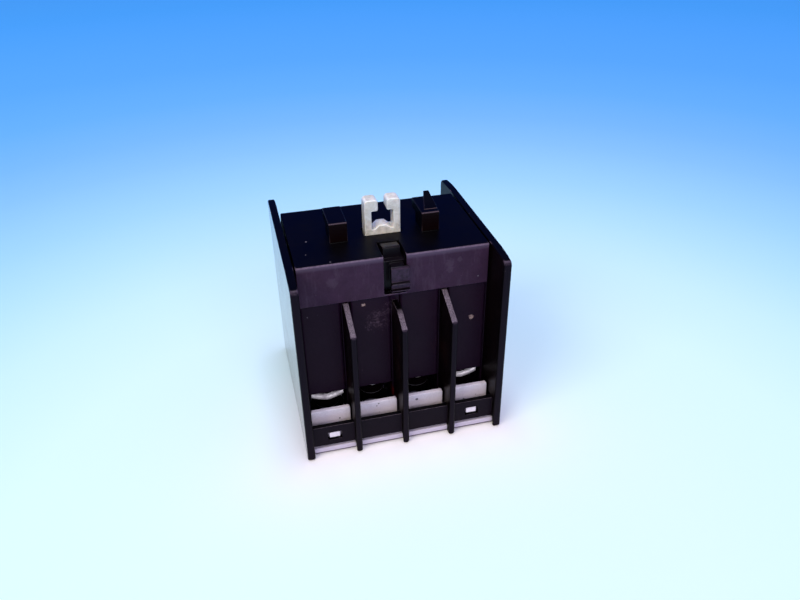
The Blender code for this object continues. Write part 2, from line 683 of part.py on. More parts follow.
def build_bridge(name, pole, bridge, is_open, look):
    """The moving bridge with a contact tip at each end."""
    half = BRIDGE_WIDTH / 2
    bar = block((pole - half, pole + half), (-BRIDGE_REACH, BRIDGE_REACH), (bridge, bridge + BRIDGE_THICKNESS))
    soften(bar, BRIDGE_WIDTH / 5, lambda middle, along: abs(along.z) > 0.9, 2)
    made = piece(name, bar, look)
    if is_open:
        heights = (bridge + BRIDGE_THICKNESS / 2, bridge + BRIDGE_THICKNESS + TIP_HEIGHT)
    else:
        heights = (bridge - TIP_HEIGHT, bridge + BRIDGE_THICKNESS / 2)
    tips = [round_bar(pole, side * TIP_REACH, heights, TIP_RADIUS, 12) for side in (-1, 1)]
    return combine(made, "UNION", tips)


def clamp_rise(x):
    """How far the bowed clamp stands above its middle, at a distance from its centre line."""
    return CLAMP_BOW * abs(2 * x / CLAMP_WIDTH) ** 1.4


def clamp_drop(is_open):
    """The screws of the outer poles are backed out, and those of the inner poles are tight."""
    return CLAMP_TRAVEL if is_open else 0.0


def build_clamp(name, pole, side, drop, look):
    """The bowed pressure plate under a terminal screw's head, with its hole."""
    ends = STRAP_BOTTOM - FIT - drop
    middle = ends - CLAMP_BOW - CLAMP_THICKNESS
    steps = 8
    places = [CLAMP_WIDTH * (index / steps - 0.5) for index in range(steps + 1)]
    lower = [(pole + x, middle + clamp_rise(x)) for x in places]
    upper = [(x, z + CLAMP_THICKNESS) for x, z in reversed(lower)]
    span = sorted((side * (SCREW_REACH - CLAMP_LENGTH / 2), side * (SCREW_REACH + CLAMP_LENGTH / 2)))
    made = piece(name, prism(lower + upper, "Y", *span), look)
    hole = round_bar(pole, side * SCREW_REACH, (middle - FIT, ends + FIT), SCREW_RADIUS + FIT, 16)
    return combine(made, "DIFFERENCE", [hole])


def build_screw(name, pole, side, drop, look):
    """A terminal screw: round head with a crossed drive, and its shank."""
    seat = SCREW_SEAT - drop
    profile = [
        (0.0, seat - HEAD_HEIGHT), (HEAD_RADIUS * 0.85, seat - HEAD_HEIGHT),
        (HEAD_RADIUS, seat - HEAD_HEIGHT * 0.8), (HEAD_RADIUS, seat), (SCREW_RADIUS, seat),
        (SCREW_RADIUS, seat + SCREW_LENGTH - SCREW_RADIUS / 2),
        (SCREW_RADIUS / 2, seat + SCREW_LENGTH), (0.0, seat + SCREW_LENGTH),
    ]
    shape = bmesh.new()
    points = [shape.verts.new((radius, 0.0, height)) for radius, height in profile]
    edges = [shape.edges.new(pair) for pair in zip(points, points[1:])]
    bmesh.ops.spin(
        shape, geom=points + edges, cent=(0, 0, 0), axis=(0, 0, 1), angle=2 * math.pi,
        steps=18, use_merge=True, use_duplicate=False,
    )
    bmesh.ops.remove_doubles(shape, verts=shape.verts, dist=0.01 * MM)
    bmesh.ops.recalc_face_normals(shape, faces=shape.faces)
    made = piece(name, shape, look)
    made.location = (pole, side * SCREW_REACH, 0.0)
    cuts = []
    for size in ((DRIVE_LENGTH, DRIVE_WIDTH), (DRIVE_WIDTH, DRIVE_LENGTH)):
        heights = (seat - HEAD_HEIGHT - FIT, seat - HEAD_HEIGHT + DRIVE_DEPTH)
        x = (pole - size[0] / 2, pole + size[0] / 2)
        y = (side * SCREW_REACH - size[1] / 2, side * SCREW_REACH + size[1] / 2)
        cuts.append(block(x, y, heights))
    combine(made, "DIFFERENCE", cuts)
    smooth(made)
    return made


def build_latch(look):
    """The sprung latch: bolt with a ramp, guide, stem and a finger pad with two grip ridges."""
    guide = GUIDE_WIDTH / 2 - FIT
    shelf = TOP - GUIDE_ROOF - FIT
    back = SLOT_BACK - 2 * FIT
    body = block((-guide, guide), (-GUIDE_FACE + FIT, back), (LATCH_BOTTOM, shelf))
    latch = piece("latch", body, look)
    bolt = [
        (BOLT_NEAR, shelf - FIT), (BOLT_NEAR, TOP + BOLT_PROUD - FIT),
        (BOLT_NEAR + FIT, TOP + BOLT_PROUD), (SLOT_BACK - FIT, TOP - FIT / 2), (SLOT_BACK - FIT, shelf - FIT),
    ]
    behind = -BOX_FACE - FIT
    face = behind - PAD_THICKNESS
    pad = [(behind, PAD_BOTTOM), (behind, PAD_TOP)]
    pad += [(face + PAD_CHAMFER, PAD_TOP), (face, PAD_TOP - PAD_CHAMFER)]
    for index in range(2):
        crest = RIDGE_TOP - index * RIDGE_PITCH
        pad += [
            (face, crest), (face - RIDGE_DEPTH, crest - RIDGE_HEIGHT * 0.25),
            (face - RIDGE_DEPTH, crest - RIDGE_HEIGHT * 0.6), (face, crest - RIDGE_HEIGHT),
        ]
    pad += [(face, PAD_BOTTOM)]
    stem = block(
        (PAD_LEFT + FIT, SLOT_WIDTH / 2 - FIT), (behind - PAD_THICKNESS / 3, -GUIDE_FACE + 2 * FIT),
        (SLOT_FLOOR + LATCH_TRAVEL + FIT, PAD_TOP - FIT),
    )
    solids = [
        prism(bolt, "X", -BOLT_WIDTH / 2, BOLT_WIDTH / 2), prism(pad, "X", PAD_LEFT, PAD_LEFT + PAD_WIDTH), stem,
    ]
    combine(latch, "UNION", solids)
    well = LATCH_COIL + WIRE_RADIUS + FIT
    combine(latch, "DIFFERENCE", [round_bar(0.0, LATCH_SPRING_Y, (GUIDE_FLOOR, LATCH_SPRING_TOP + FIT), well, 14)])
    return latch


def main():
    """Model every piece of the contact block."""
    black = material("black_polyamide", (0.018, 0.016, 0.022), 0.32)
    grey = material("light_grey_polyamide", (0.62, 0.58, 0.62), 0.45)
    ivory = material("ivory_nylon", (0.78, 0.75, 0.68), 0.4)
    zinc = material("zinc_plated_steel", (0.62, 0.62, 0.64), 0.3, 1.0)
    brass = material("contact_brass", (0.62, 0.38, 0.16), 0.35, 1.0)
    copper = material("bridge_copper", (0.66, 0.32, 0.18), 0.35, 1.0)
    steel = material("spring_steel", (0.5, 0.5, 0.52), 0.3, 1.0)

    build_housing(black)
    build_cover(grey)
    build_carrier(ivory)
    build_latch(black)
    for number, (pole, is_open, row) in enumerate(zip(POLES, NORMALLY_OPEN, carrier_windows()), start=1):
        _, bridge, coil = row
        build_bridge(f"bridge_{number}", pole, bridge, is_open, copper)
        spring(f"contact_spring_{number}", pole, 0.0, coil, CONTACT_COIL, 4.5, steel)
        for name, side in SIDES:
            drop = clamp_drop(is_open)
            build_fixed_contact(f"fixed_contact_{number}_{name}", pole, side, is_open, brass)
            build_clamp(f"wire_clamp_{number}_{name}", pole, side, drop, zinc)
            build_screw(f"terminal_screw_{number}_{name}", pole, side, drop, zinc)
    for name, side in (("left", -1), ("right", 1)):
        heights = (CARRIER_TOP + FIT, RETURN_WELL_TOP - FIT)
        spring(f"return_spring_{name}", side * RIB_PITCH, 0.0, heights, RETURN_COIL, 5.5, steel)
    heights = (GUIDE_FLOOR + FIT, LATCH_SPRING_TOP)
    spring("latch_spring", 0.0, LATCH_SPRING_Y, heights, LATCH_COIL, 4.5, steel)


for thing in list(bpy.data.objects):
    bpy.data.objects.remove(thing, do_unlink=True)
main()
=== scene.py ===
import json
import math

import bmesh
import bpy
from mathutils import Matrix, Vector


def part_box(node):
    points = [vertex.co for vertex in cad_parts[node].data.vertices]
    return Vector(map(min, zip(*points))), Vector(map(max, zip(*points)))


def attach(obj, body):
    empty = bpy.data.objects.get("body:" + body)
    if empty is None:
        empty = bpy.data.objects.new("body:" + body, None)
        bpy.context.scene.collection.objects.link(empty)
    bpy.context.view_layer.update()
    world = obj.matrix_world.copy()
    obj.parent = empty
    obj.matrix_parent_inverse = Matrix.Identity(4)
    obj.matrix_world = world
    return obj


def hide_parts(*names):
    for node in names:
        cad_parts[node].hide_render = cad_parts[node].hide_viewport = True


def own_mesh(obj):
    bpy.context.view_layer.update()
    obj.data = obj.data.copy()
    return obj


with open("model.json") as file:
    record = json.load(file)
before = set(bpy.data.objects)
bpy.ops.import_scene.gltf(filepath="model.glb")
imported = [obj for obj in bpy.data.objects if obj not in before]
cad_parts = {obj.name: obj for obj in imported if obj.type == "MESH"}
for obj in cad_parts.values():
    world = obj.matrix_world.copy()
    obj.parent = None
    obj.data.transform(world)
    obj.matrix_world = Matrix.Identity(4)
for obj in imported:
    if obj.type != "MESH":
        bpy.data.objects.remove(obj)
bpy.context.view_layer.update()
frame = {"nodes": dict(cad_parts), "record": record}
MM = 0.001


# Small helpers for shader trees

def add_node(tree, kind, **settings):
    node = tree.nodes.new(kind)
    for key, value in settings.items():
        setattr(node, key, value)
    return node


def wire(tree, source, target):
    tree.links.new(source, target)


def feed(tree, socket, value):
    """Link a socket to an output, or set its plain value."""
    if isinstance(value, bpy.types.NodeSocket):
        tree.links.new(value, socket)
    else:
        socket.default_value = value


def maths(tree, operation, first, second=0.0, clamp=False):
    node = add_node(tree, "ShaderNodeMath", operation=operation, use_clamp=clamp)
    feed(tree, node.inputs[0], first)
    feed(tree, node.inputs[1], second)
    return node.outputs[0]


def blend_colour(tree, amount, under, over):
    node = add_node(tree, "ShaderNodeMix", data_type="RGBA", blend_type="MIX")
    feed(tree, node.inputs[0], amount)
    for socket, value in ((node.inputs[6], under), (node.inputs[7], over)):
        if isinstance(value, tuple):
            value = (*value, 1.0)
        feed(tree, socket, value)
    return node.outputs[2]


def stretch(tree, value, low, high, to_low=0.0, to_high=1.0):
    node = add_node(tree, "ShaderNodeMapRange", clamp=True)
    feed(tree, node.inputs["Value"], value)
    node.inputs["From Min"].default_value = low
    node.inputs["From Max"].default_value = high
    node.inputs["To Min"].default_value = to_low
    node.inputs["To Max"].default_value = to_high
    return node.outputs["Result"]


def noise(tree, coords, scale, detail, roughness=0.5, distortion=0.0):
    node = add_node(tree, "ShaderNodeTexNoise")
    wire(tree, coords, node.inputs["Vector"])
    node.inputs["Scale"].default_value = scale
    node.inputs["Detail"].default_value = detail
    node.inputs["Roughness"].default_value = roughness
    node.inputs["Distortion"].default_value = distortion
    return node.outputs["Fac"]


def new_group(name, inputs, outputs):
    """A shader node group with float, colour or vector sockets by name."""
    kinds = {"value": "NodeSocketFloat", "colour": "NodeSocketColor", "vector": "NodeSocketVector"}
    tree = bpy.data.node_groups.new(name, "ShaderNodeTree")
    for label, kind, preset in inputs:
        socket = tree.interface.new_socket(name=label, in_out="INPUT", socket_type=kinds[kind])
        if preset is not None:
            socket.default_value = preset
    for label, kind in outputs:
        tree.interface.new_socket(name=label, in_out="OUTPUT", socket_type=kinds[kind])
    return tree, add_node(tree, "NodeGroupInput"), add_node(tree, "NodeGroupOutput")


def use(tree, group, **values):
    """Place a group; underscores in the names stand for spaces."""
    node = add_node(tree, "ShaderNodeGroup", node_tree=group)
    for key, value in values.items():
        feed(tree, node.inputs[key.replace("_", " ")], value)
    return node


# Shared surface effects

def moulded_grain():
    """Fine spark-eroded grain of moulded plastic, with slow unevenness under it."""
    tree, given, out = new_group(
        "moulded_grain",
        [("Coords", "vector", None), ("Fineness", "value", 9000.0), ("Depth", "value", 0.5)],
        [("Height", "value"), ("Patch", "value")],
    )
    fine = add_node(tree, "ShaderNodeTexNoise")
    wire(tree, given.outputs["Coords"], fine.inputs["Vector"])
    wire(tree, given.outputs["Fineness"], fine.inputs["Scale"])
    fine.inputs["Detail"].default_value = 3.0
    slow = noise(tree, given.outputs["Coords"], 160.0, 3.0, 0.55)
    wavy = noise(tree, given.outputs["Coords"], 900.0, 2.0, 0.5)
    height = maths(tree, "MULTIPLY", fine.outputs["Fac"], given.outputs["Depth"])
    height = maths(tree, "ADD", height, maths(tree, "MULTIPLY", wavy, 0.35))
    wire(tree, height, out.inputs["Height"])
    wire(tree, slow, out.inputs["Patch"])
    return tree


def dust_specks():
    """Sparse specks of uneven size and a thin cloudy film that lies on upward faces."""
    tree, given, out = new_group(
        "dust_specks",
        [("Coords", "vector", None), ("Density", "value", 0.5), ("Size", "value", 700.0)],
        [("Specks", "value"), ("Film", "value")],
    )
    bent = add_node(tree, "ShaderNodeVectorMath", operation="ADD")
    wobble = add_node(tree, "ShaderNodeTexNoise")
    wire(tree, given.outputs["Coords"], wobble.inputs["Vector"])
    wobble.inputs["Scale"].default_value = 5200.0
    small = add_node(tree, "ShaderNodeVectorMath", operation="SCALE")
    wire(tree, wobble.outputs["Color"], small.inputs[0])
    small.inputs["Scale"].default_value = 0.00022
    wire(tree, given.outputs["Coords"], bent.inputs[0])
    wire(tree, small.outputs[0], bent.inputs[1])
    cells = add_node(tree, "ShaderNodeTexVoronoi", feature="F1")
    wire(tree, bent.outputs[0], cells.inputs["Vector"])
    wire(tree, given.outputs["Size"], cells.inputs["Scale"])
    cells.inputs["Randomness"].default_value = 1.0
    split = add_node(tree, "ShaderNodeSeparateColor")
    wire(tree, cells.outputs["Color"], split.inputs["Color"])
    share = maths(tree, "MULTIPLY", given.outputs["Density"], 0.12)
    chosen = maths(tree, "LESS_THAN", split.outputs["Red"], share)
    radius = maths(tree, "ADD", maths(tree, "MULTIPLY", split.outputs["Green"], 0.09), 0.025)
    dot = stretch(tree, maths(tree, "DIVIDE", cells.outputs["Distance"], radius), 0.7, 1.1, 1.0, 0.0)
    strength = maths(tree, "ADD", maths(tree, "MULTIPLY", split.outputs["Blue"], 0.8), 0.2)
    wire(tree, maths(tree, "MULTIPLY", maths(tree, "MULTIPLY", chosen, dot), strength), out.inputs["Specks"])
    cloud = noise(tree, given.outputs["Coords"], 420.0, 6.0, 0.68)
    film = stretch(tree, cloud, 0.50, 0.78)
    surface = add_node(tree, "ShaderNodeNewGeometry")
    normal = add_node(tree, "ShaderNodeSeparateXYZ")
    wire(tree, surface.outputs["Normal"], normal.inputs[0])
    film = maths(tree, "MULTIPLY", film, stretch(tree, normal.outputs["Z"], 0.2, 0.9, 0.35, 1.0))
    wire(tree, maths(tree, "MULTIPLY", film, given.outputs["Density"]), out.inputs["Film"])
    return tree


def hair_scratches():
    """Fine scratches: thin bright lines where stretched noise crosses its middle value."""
    tree, given, out = new_group(
        "hair_scratches",
        [("Coords", "vector", None), ("Amount", "value", 0.5), ("Tilt", "value", 0.6)],
        [("Lines", "value")],
    )
    total = None
    for turn, scale in ((0.0, (260.0, 9000.0, 2600.0)), (1.1, (7000.0, 240.0, 1900.0))):
        place = add_node(tree, "ShaderNodeMapping")
        wire(tree, given.outputs["Coords"], place.inputs["Vector"])
        spin = add_node(tree, "ShaderNodeCombineXYZ")
        wire(tree, maths(tree, "ADD", given.outputs["Tilt"], turn), spin.inputs["Z"])
        wire(tree, spin.outputs[0], place.inputs["Rotation"])
        place.inputs["Scale"].default_value = scale
        lines = noise(tree, place.outputs[0], 1.0, 1.0, 0.4)
        off_middle = maths(tree, "ABSOLUTE", maths(tree, "SUBTRACT", lines, 0.5))
        thin = stretch(tree, off_middle, 0.0, 0.012, 1.0, 0.0)
        total = thin if total is None else maths(tree, "MAXIMUM", total, thin)
    patches = stretch(tree, noise(tree, given.outputs["Coords"], 210.0, 2.0, 0.5), 0.52, 0.66)
    lines = maths(tree, "MULTIPLY", maths(tree, "MULTIPLY", total, patches), given.outputs["Amount"])
    wire(tree, lines, out.inputs["Lines"])
    return tree


def edge_wear():
    """Where an edge is rounded over: the difference between the flat and the rounded normal."""
    tree, given, out = new_group(
        "edge_wear",
        [("Coords", "vector", None), ("Radius", "value", 0.00025), ("Amount", "value", 1.0)],
        [("Edge", "value")],
    )
    soft = add_node(tree, "ShaderNodeBevel", samples=6)
    wire(tree, given.outputs["Radius"], soft.inputs["Radius"])
    flat = add_node(tree, "ShaderNodeNewGeometry")
    dot = add_node(tree, "ShaderNodeVectorMath", operation="DOT_PRODUCT")
    wire(tree, soft.outputs["Normal"], dot.inputs[0])
    wire(tree, flat.outputs["Normal"], dot.inputs[1])
    edge = stretch(tree, dot.outputs["Value"], 0.78, 0.995, 1.0, 0.0)
    broken = stretch(tree, noise(tree, given.outputs["Coords"], 1500.0, 4.0, 0.6), 0.38, 0.62)
    edge = maths(tree, "MULTIPLY", maths(tree, "MULTIPLY", edge, broken), given.outputs["Amount"])
    wire(tree, edge, out.inputs["Edge"])
    return tree


def spot_mask():
    """A soft-edged blot round one point, broken up by noise."""
    tree, given, out = new_group(
        "spot_mask",
        [
            ("Coords", "vector", None), ("Centre", "vector", None),
            ("Radius", "value", 0.001), ("Ragged", "value", 0.6),
        ],
        [("Mask", "value")],
    )
    away = add_node(tree, "ShaderNodeVectorMath", operation="DISTANCE")
    wire(tree, given.outputs["Coords"], away.inputs[0])
    wire(tree, given.outputs["Centre"], away.inputs[1])
    near = maths(tree, "DIVIDE", away.outputs["Value"], given.outputs["Radius"])
    fray = maths(tree, "SUBTRACT", noise(tree, given.outputs["Coords"], 1900.0, 5.0, 0.7), 0.5)
    fray = maths(tree, "MULTIPLY", maths(tree, "MULTIPLY", fray, given.outputs["Ragged"]), 2.6)
    near = maths(tree, "ADD", near, fray)
    wire(tree, stretch(tree, near, 0.75, 1.15, 1.0, 0.0), out.inputs["Mask"])
    return tree


GRAIN = moulded_grain()
DUST = dust_specks()
SCRATCH = hair_scratches()
EDGE = edge_wear()
SPOT = spot_mask()


def start_material(name):
    made = bpy.data.materials.new(name)
    made.use_nodes = True
    tree = made.node_tree
    shader = tree.nodes["Principled BSDF"]
    coords = add_node(tree, "ShaderNodeTexCoord").outputs["Object"]
    return made, tree, shader, coords


def bump(tree, shader, height, distance, strength):
    node = add_node(tree, "ShaderNodeBump")
    node.inputs["Strength"].default_value = strength
    node.inputs["Distance"].default_value = distance
    wire(tree, height, node.inputs["Height"])
    wire(tree, node.outputs["Normal"], shader.inputs["Normal"])


def spots_mask(tree, coords, spots, ragged):
    """One mask for a list of spots."""
    total = None
    for centre, radius in spots:
        centre = tuple(value * MM for value in centre)
        one = use(tree, SPOT, Coords=coords, Centre=centre, Radius=radius * MM, Ragged=ragged)
        mask = one.outputs["Mask"]
        total = mask if total is None else maths(tree, "MAXIMUM", total, mask)
    return total


def product(tree, *masks):
    """Masks and plain strengths multiplied together."""
    total = masks[0]
    for mask in masks[1:]:
        total = maths(tree, "MULTIPLY", total, mask)
    return total


def tint(tree, colour, paint, *masks):
    """The colour with a paint over it, as far as every mask lets it through."""
    return blend_colour(tree, product(tree, *masks), colour, paint)


def above(tree, value, level, soft):
    """One over a level, fading to nothing over a soft border below it; all in millimetres."""
    return stretch(tree, value, (level - soft) * MM, level * MM)


def below(tree, value, level, soft):
    """One below a level, fading to nothing over a soft border above it; all in millimetres."""
    return stretch(tree, value, level * MM, (level + soft) * MM, 1.0, 0.0)


def band(tree, value, low, high, soft):
    """One between low and high, fading to nothing over a soft border; all in millimetres."""
    return product(tree, above(tree, value, low, soft), below(tree, value, high, soft))


def unsigned(tree, value):
    return maths(tree, "ABSOLUTE", value)


def position(tree, coords):
    place = add_node(tree, "ShaderNodeSeparateXYZ")
    wire(tree, coords, place.inputs[0])
    return place.outputs


def facing(tree):
    """How far a face looks to either long side and across the poles, and the parts of its normal."""
    normal = position(tree, add_node(tree, "ShaderNodeNewGeometry").outputs["Normal"])
    near = stretch(tree, unsigned(tree, normal["Y"]), 0.5, 0.8)
    across = stretch(tree, unsigned(tree, normal["X"]), 0.6, 0.8)
    return near, across, normal


def rounded_edges(tree, normal):
    """One on the rounded strips between faces that are square to each other, zero on the faces."""
    steepest = unsigned(tree, normal["X"])
    for axis in ("Y", "Z"):
        steepest = maths(tree, "MAXIMUM", steepest, unsigned(tree, normal[axis]))
    return stretch(tree, steepest, 0.88, 0.985, 1.0, 0.0)


def surface_wear(tree, coords, grain, dust, edge, scratches=None):
    """The shared effects: grain fineness and depth, dust density and size, edge radius in millimetres
    and amount, scratch amount and tilt."""
    moulded = use(tree, GRAIN, Coords=coords, Fineness=grain[0], Depth=grain[1]).outputs
    dusty = use(tree, DUST, Coords=coords, Density=dust[0], Size=dust[1]).outputs
    worn = use(tree, EDGE, Coords=coords, Radius=edge[0] * MM, Amount=edge[1]).outputs
    wear = {
        "height": moulded["Height"], "patch": moulded["Patch"],
        "specks": dusty["Specks"], "film": dusty["Film"], "edge": worn["Edge"],
    }
    if scratches:
        scratched = use(tree, SCRATCH, Coords=coords, Amount=scratches[0], Tilt=scratches[1]).outputs
        wear["lines"] = scratched["Lines"]
    return wear


def black_plastic(name, base, scratches):
    """Black moulding, satin and faintly violet, with thin dust, hair scratches and paler edges, worn and on
    the latch partly a painted highlight.
    """
    made, tree, shader, coords = start_material(name)
    wear = surface_wear(tree, coords, (9000.0, 0.5), (0.3, 900.0), (0.22, 0.6), (scratches, 0.5))
    paler = tuple(value * 1.6 + 0.0002 for value in base)
    colour = blend_colour(tree, stretch(tree, wear["patch"], 0.3, 0.7), base, paler)
    return made, tree, shader, coords, wear, colour


def finish_black(tree, shader, wear, colour, rough, film, edge_wear_and_highlight, polished=0.0):
    """The wear that every black piece shares, with pale edges that on the latch are partly a painted
    highlight, and its gloss and grain.
    """
    colour = tint(tree, colour, (0.30, 0.26, 0.30), wear["film"], film)
    colour = tint(tree, colour, (0.30, 0.26, 0.32), wear["lines"], film * 3.0)
    # Pale rounded edges: wear, and at the latch's strength partly a painted highlight.
    colour = tint(tree, colour, (0.34, 0.28, 0.36), wear["edge"], edge_wear_and_highlight)
    colour = tint(tree, colour, (0.50, 0.46, 0.52), wear["specks"], 0.25)
    wire(tree, colour, shader.inputs["Base Color"])
    roughness = stretch(tree, wear["patch"], 0.25, 0.75, rough - 0.04, rough + 0.08)
    roughness = maths(tree, "ADD", roughness, product(tree, wear["film"], 0.2))
    roughness = maths(tree, "ADD", roughness, product(tree, wear["lines"], 0.1))
    dull = maths(tree, "SUBTRACT", 1.0, product(tree, polished, 0.72))
    wire(tree, maths(tree, "MULTIPLY", roughness, dull, clamp=True), shader.inputs["Roughness"])
    height = maths(tree, "SUBTRACT", wear["height"], product(tree, wear["lines"], 0.8))
    bump(tree, shader, height, 0.010 * MM, 0.5)


# Levels that the finishes follow, in millimetres. Depths are counted outwards as negative.
BOX_LOWER_EDGE = 34.95
BOX_TOP = 44.5
BOX_FACE = -14.3
WALL_PLANE = -13.7
RIB_TOP = 34.8
BAR_FACE = -20.4
PLATE_NOSE = -21.6
PLATE_INSIDE = 20.7
PLATE_OUTSIDE = 22.45
OVER_DECK = 44.8
PAD_TOP = 42.2
PAD_FACE = -14.4
COVER_INSIDE = 15.6
COVER_FLOOR = 1.6
FLANGE_TOP = 1.7
FOOT_TOP = 0.45

# Single marks, each a centre and a radius in millimetres
SCUFFS = (((-3.9, -13.7, 29.0), 2.4), ((-1.4, -13.7, 31.6), 1.5), ((-5.8, -13.7, 27.4), 1.0))
DOTS = (
    ((-7.0, -13.7, 33.3), 0.24), ((-1.9, -14.3, 36.3), 0.18),
    ((-16.7, -3.3, 44.4), 0.22), ((12.8, 2.5, 46.5), 0.16),
    ((18.2, -14.3, 36.8), 0.16), ((-13.2, -13.3, 44.4), 0.18),
    ((-17.6, -9.0, 44.4), 0.14), ((-18.9, -13.7, 32.2), 0.13),
)
BRIGHT_CHIPS = (((17.3, -13.7, 26.0), 0.5), ((-7.0, -13.7, 33.3), 0.35), ((-1.9, -14.3, 36.3), 0.3))
RED_SPOTS = (((-0.9, -12.2, 8.4), 1.5), ((-0.9, -15.8, 8.8), 0.6))
DARK_MARKS = (
    ((3.7, -17.5, 8.3), 0.34), ((-14.2, -17.5, 6.8), 0.22),
    ((15.0, -17.5, 6.0), 0.2), ((-5.2, -17.5, 9.0), 0.18),
)
STREAKS = (
    ((11.8, -14.3, 40.9), 1.0), ((11.9, -14.3, 39.4), 0.8),
    ((-13.3, -14.3, 40.0), 1.2), ((14.0, -14.3, 41.6), 0.6),
)
GRIME = (
    ((-0.7, -18.5, 25.0), 2.0), ((-0.7, -17.0, 18.0), 3.0),
    ((-11.4, -16.5, 15.0), 3.4), ((10.1, -16.5, 20.0), 3.2),
)


def housing_guides(tree, coords):
    """Where a point of the housing lies, which way it faces, and the noises that break up its finish."""
    near, across, normal = facing(tree)
    place = position(tree, coords)
    return {
        "near": near, "across": across, "normal": normal, "height": place["Z"],
        "aside": unsigned(tree, place["X"]),
        "depth": maths(tree, "MULTIPLY", unsigned(tree, place["Y"]), -1.0),
        "outward": maths(tree, "MULTIPLY", unsigned(tree, normal["Y"]), -1.0),
        "cloud": noise(tree, coords, 330.0, 5.0, 0.62),
        "mottle": noise(tree, coords, 1500.0, 4.0, 0.7),
        "speckle": noise(tree, coords, 5200.0, 3.0, 0.7),
    }


def box_face_tone_and_painted_highlights(tree, coords, on, colour):
    """A paler violet tone on the box's long faces, with upright drips, a painted highlight on the upper
    part of the face, and painted highlights on the rounded top edges of the box and the noses of the end
    plates."""
    on_box = band(tree, on["height"], BOX_LOWER_EDGE, BOX_TOP, 0.1)
    face = product(tree, on["near"], on_box, band(tree, on["depth"], BOX_FACE - 0.3, BOX_FACE + 0.4, 0.1))
    cloudy = stretch(tree, on["cloud"], 0.25, 0.7, 0.72, 1.0)
    mottled = stretch(tree, on["mottle"], 0.3, 0.7, 0.85, 1.0)
    colour = tint(tree, colour, (0.044, 0.020, 0.047), face, cloudy, mottled)
    upright = add_node(tree, "ShaderNodeMapping")
    wire(tree, coords, upright.inputs["Vector"])
    upright.inputs["Scale"].default_value = (1.0, 1.0, 0.22)
    drips = stretch(tree, noise(tree, upright.outputs[0], 430.0, 5.0, 0.72), 0.50, 0.70)
    colour = tint(tree, colour, (0.085, 0.058, 0.092), drips, face, 0.4)
    # Painted highlight: the box face is painted paler from about 43 mm up to its top edge.
    colour = tint(tree, colour, (0.090, 0.064, 0.108), face, above(tree, on["height"], 43.9, 0.8), 0.8)
    colour = tint(tree, colour, (0.12, 0.09, 0.13), spots_mask(tree, coords, STREAKS, 0.9), face, 0.15)

    # Painted highlights: the rounded top edges of the box face and the rounded noses of the end plates are
    # painted pale.
    slope = on["normal"]["Z"]
    turned = product(tree, stretch(tree, slope, 0.10, 0.45), stretch(tree, slope, 0.86, 0.98, 1.0, 0.0))
    painted_rim_highlight = product(tree, turned, on_box, band(tree, on["depth"], BOX_FACE - 0.2, BOX_FACE + 1.0, 0.1))
    painted_nose_highlight = product(tree, turned, below(tree, on["depth"], PLATE_NOSE, 0.8), 0.6)
    broken = stretch(tree, on["mottle"], 0.35, 0.62, 0.4, 1.0)
    return tint(tree, colour, (0.135, 0.096, 0.150), maths(tree, "MAXIMUM", painted_rim_highlight, painted_nose_highlight), broken)


def bay_tones_and_painted_crests(tree, coords, on, colour):
    """Violet walls and darker bars below the box, and a painted highlight on the sloped tops of the ribs and
    end plates.
    """
    low = below(tree, on["height"], RIB_TOP, 0.1)
    faces = maths(tree, "MAXIMUM", above(tree, on["aside"], PLATE_INSIDE, 0.1), low)
    moulding = blend_colour(tree, below(tree, on["depth"], BAR_FACE, 0.4),
                            (0.0165, 0.0058, 0.0185), (0.0060, 0.0024, 0.0085))
    colour = tint(tree, colour, moulding, on["near"], faces,
                  stretch(tree, on["speckle"], 0.35, 0.7, 0.55, 1.0))
    # Painted highlight: the sloped tops of the ribs below the box are painted pale and speckled.
    painted_crest_highlight = product(tree, stretch(tree, on["normal"]["Z"], 0.78, 0.86),
                    stretch(tree, on["outward"], -0.28, -0.2, 1.0, 0.0), low)
    return tint(tree, colour, (0.180, 0.140, 0.185), painted_crest_highlight,
                stretch(tree, on["speckle"], 0.42, 0.60, 0.25, 1.0))


def hooks_tone_and_painted_edge_highlight(tree, on, colour):
    """Reddish black faces on what stands above the deck, with a painted highlight on the edge towards the
    latch side.
    """
    raised = above(tree, on["height"], OVER_DECK, 0.2)
    colour = tint(tree, colour, (0.0042, 0.0006, 0.0008), on["near"], raised, 0.8)
    # Painted highlight on the hooks' rounded edges that face upwards.
    lit = product(tree, stretch(tree, on["normal"]["Z"], 0.2, 0.4),
                  stretch(tree, on["normal"]["Y"], -0.4, -0.2, 1.0, 0.2))
    return tint(tree, colour, (0.060, 0.040, 0.055), rounded_edges(tree, on["normal"]), raised, lit)


def housing_marks(tree, coords, on, colour):
    """A brown film between the ribs, then grime, red spots, scuffs, dots and chips."""
    in_bay = product(tree, on["across"], band(tree, on["depth"], BAR_FACE - 0.1, WALL_PLANE, 1.5))
    colour = tint(tree, colour, (0.0042, 0.0013, 0.0015), in_bay,
                  stretch(tree, on["cloud"], 0.35, 0.65, 0.35, 1.0), 0.6)
    marks = (
        (GRIME, 1.0, stretch(tree, on["speckle"], 0.54, 0.62), 0.6, (0.050, 0.014, 0.007)),
        (RED_SPOTS, 0.8, 1.0, 1.0, (0.060, 0.003, 0.004)),
        (SCUFFS, 1.2, stretch(tree, on["mottle"], 0.46, 0.66), 0.4, (0.12, 0.075, 0.115)),
        (DOTS, 0.3, 1.0, 0.45, (0.26, 0.23, 0.28)),
        (BRIGHT_CHIPS, 1.8, 1.0, 0.6, (0.50, 0.34, 0.32)),
    )
    for spots, ragged, broken, strength, paint in marks:
        colour = tint(tree, colour, paint, spots_mask(tree, coords, spots, ragged), broken, strength)
    return colour


